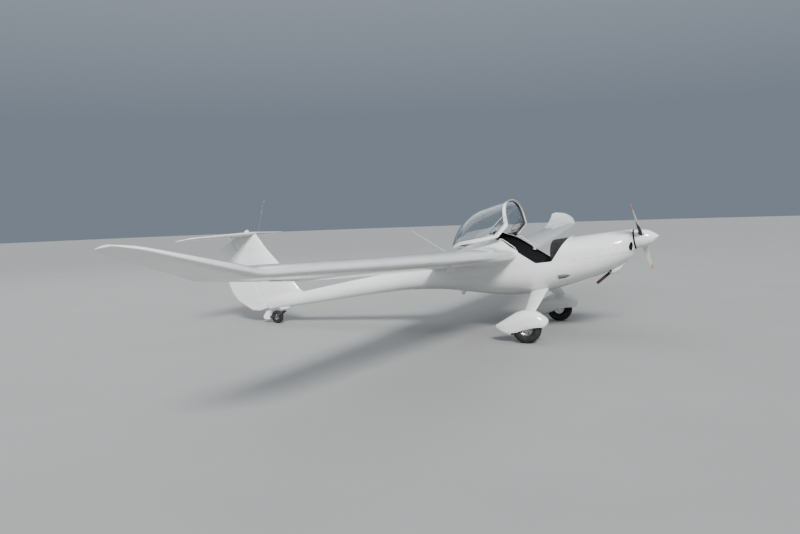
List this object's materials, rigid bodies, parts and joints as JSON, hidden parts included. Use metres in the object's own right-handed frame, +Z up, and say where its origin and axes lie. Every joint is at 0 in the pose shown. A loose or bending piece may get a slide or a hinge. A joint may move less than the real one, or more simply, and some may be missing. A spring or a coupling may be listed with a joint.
{
  "type": "two-seat touring motor glider",
  "caption": "Low-wing two-seat powered sailplane with T-tail, spatted main wheels and tailwheel, nose propeller, and a one-piece canopy swung up and back.",
  "frame": {"origin": "centre of the bounding box's bottom face: on the ground under the middle of the aircraft", "axes": "+Z up as it parks on its wheels, nose towards -Y, right wing towards -X"},
  "size_m": [13, 6.642, 1.875],
  "materials": {
    "body_white": "glossy white gelcoat over glass fibre",
    "bare_metal": "satin bare metal",
    "dark_metal": "dark, dull metal",
    "rubber": "matt black rubber",
    "cabin_black": "matt black",
    "seat_cloth": "woven dark grey cloth",
    "canopy_glass": "clear acrylic"
  },
  "bodies": {
    "airframe": {"fuselage_shell": "body_white", "upper_cowling": "body_white", "lower_cowling": "body_white", "tail_boom": "body_white", "vertical_fin": "body_white", "wing_left": "body_white", "wing_right": "body_white", "tailplane": "body_white", "wheel_spat_left": "body_white", "wheel_spat_right": "body_white", "gear_leg_left": "body_white", "gear_leg_right": "body_white", "tailwheel_mount": "body_white", "whip_antenna": "body_white", "belly_fin": "body_white", "air_probe": "body_white", "tail_beacon": "body_white", "tiedown_left": "body_white", "tiedown_right": "body_white", "rear_bulkhead": "body_white", "wheel_axle_left": "bare_metal", "wheel_axle_right": "bare_metal", "firewall": "bare_metal", "engine_block": "dark_metal", "exhaust_pipe": "dark_metal", "rudder_pedals": "dark_metal", "glareshield": "cabin_black", "instrument_panel": "cabin_black", "cabin_floor": "cabin_black", "seat_pan": "cabin_black", "centre_console": "cabin_black", "control_stick_left": "cabin_black", "control_stick_right": "cabin_black", "seat_cushion_left": "seat_cloth", "seat_cushion_right": "seat_cloth", "seat_back_left": "seat_cloth", "seat_back_right": "seat_cloth"},
    "canopy_arms": {"canopy_link_left": "bare_metal", "canopy_link_right": "bare_metal"},
    "canopy": {"canopy_frame": "body_white", "canopy_glass": "canopy_glass"},
    "propeller": {"spinner": "body_white", "propeller_blade_1": "body_white", "propeller_blade_2": "body_white", "propeller_hub": "dark_metal"},
    "main_wheel_left": {"main_rim_left": "bare_metal", "main_tyre_left": "rubber"},
    "main_wheel_right": {"main_rim_right": "bare_metal", "main_tyre_right": "rubber"},
    "tail_fork": {"tailwheel_fork": "body_white"},
    "tail_wheel": {"tail_rim": "bare_metal", "tail_tyre": "rubber"},
    "rudder": {"rudder": "body_white"},
    "elevator": {"elevator": "body_white"},
    "aileron_left": {"aileron_left": "body_white"},
    "aileron_right": {"aileron_right": "body_white"}
  },
  "joints": [
    {"name": "canopy_arm_swing", "type": "hinge", "parent": "airframe", "child": "canopy_arms", "pos_m": [0, -1.63468, 1.0903], "axis": [1, 0, 0], "range_deg": [0, 180.03]},
    {"name": "canopy_hinge", "type": "hinge", "parent": "canopy_arms", "child": "canopy", "pos_m": [0, -1.40212, 1.24957], "axis": [1, 0, 0], "range_deg": [-137.03, 0]},
    {"name": "propeller_spin", "type": "hinge", "parent": "airframe", "child": "propeller", "pos_m": [0, -3.12297, 1.20765], "axis": [0, -0.9911, 0.1328], "continuous": true},
    {"name": "main_wheel_left_spin", "type": "hinge", "parent": "airframe", "child": "main_wheel_left", "pos_m": [0.96, -1.86997, 0.17514], "axis": [1, 0, 0], "continuous": true},
    {"name": "main_wheel_right_spin", "type": "hinge", "parent": "airframe", "child": "main_wheel_right", "pos_m": [-0.96, -1.86997, 0.17514], "axis": [1, 0, 0], "continuous": true},
    {"name": "tail_fork_steer", "type": "hinge", "parent": "airframe", "child": "tail_fork", "pos_m": [0, 2.1535, 0.18904], "axis": [0, 0.1328, 0.9911], "range_deg": [-30, 30], "stiffness_Nm_per_rad": 30},
    {"name": "tail_wheel_spin", "type": "hinge", "parent": "tail_fork", "child": "tail_wheel", "pos_m": [0, 2.2677, 0.10009], "axis": [1, 0, 0], "continuous": true},
    {"name": "rudder_hinge", "type": "hinge", "parent": "airframe", "child": "rudder", "pos_m": [0, 2.44252, 0.2603], "axis": [0, 0.5069, 0.862], "range_deg": [-28, 28]},
    {"name": "elevator_hinge", "type": "hinge", "parent": "airframe", "child": "elevator", "pos_m": [0, 3.0107, 1.3384], "axis": [1, 0, 0], "range_deg": [-20, 25]},
    {"name": "aileron_right_hinge", "type": "hinge", "parent": "airframe", "child": "aileron_right", "pos_m": [-4.02, -0.73333, 1.09729], "axis": [0.9968, 0.0177, -0.0782], "range_deg": [-20, 20]},
    {"name": "aileron_left_hinge", "type": "hinge", "parent": "airframe", "child": "aileron_left", "pos_m": [4.02, -0.73333, 1.09729], "axis": [0.9968, -0.0177, 0.0782], "range_deg": [-20, 20]}
  ],
  "couplings": [
    {"joint": "canopy_hinge", "follows": "canopy_arm_swing", "ratio": -0.76115},
    {"joint": "aileron_left_hinge", "follows": "aileron_right_hinge", "ratio": -1}
  ]
}
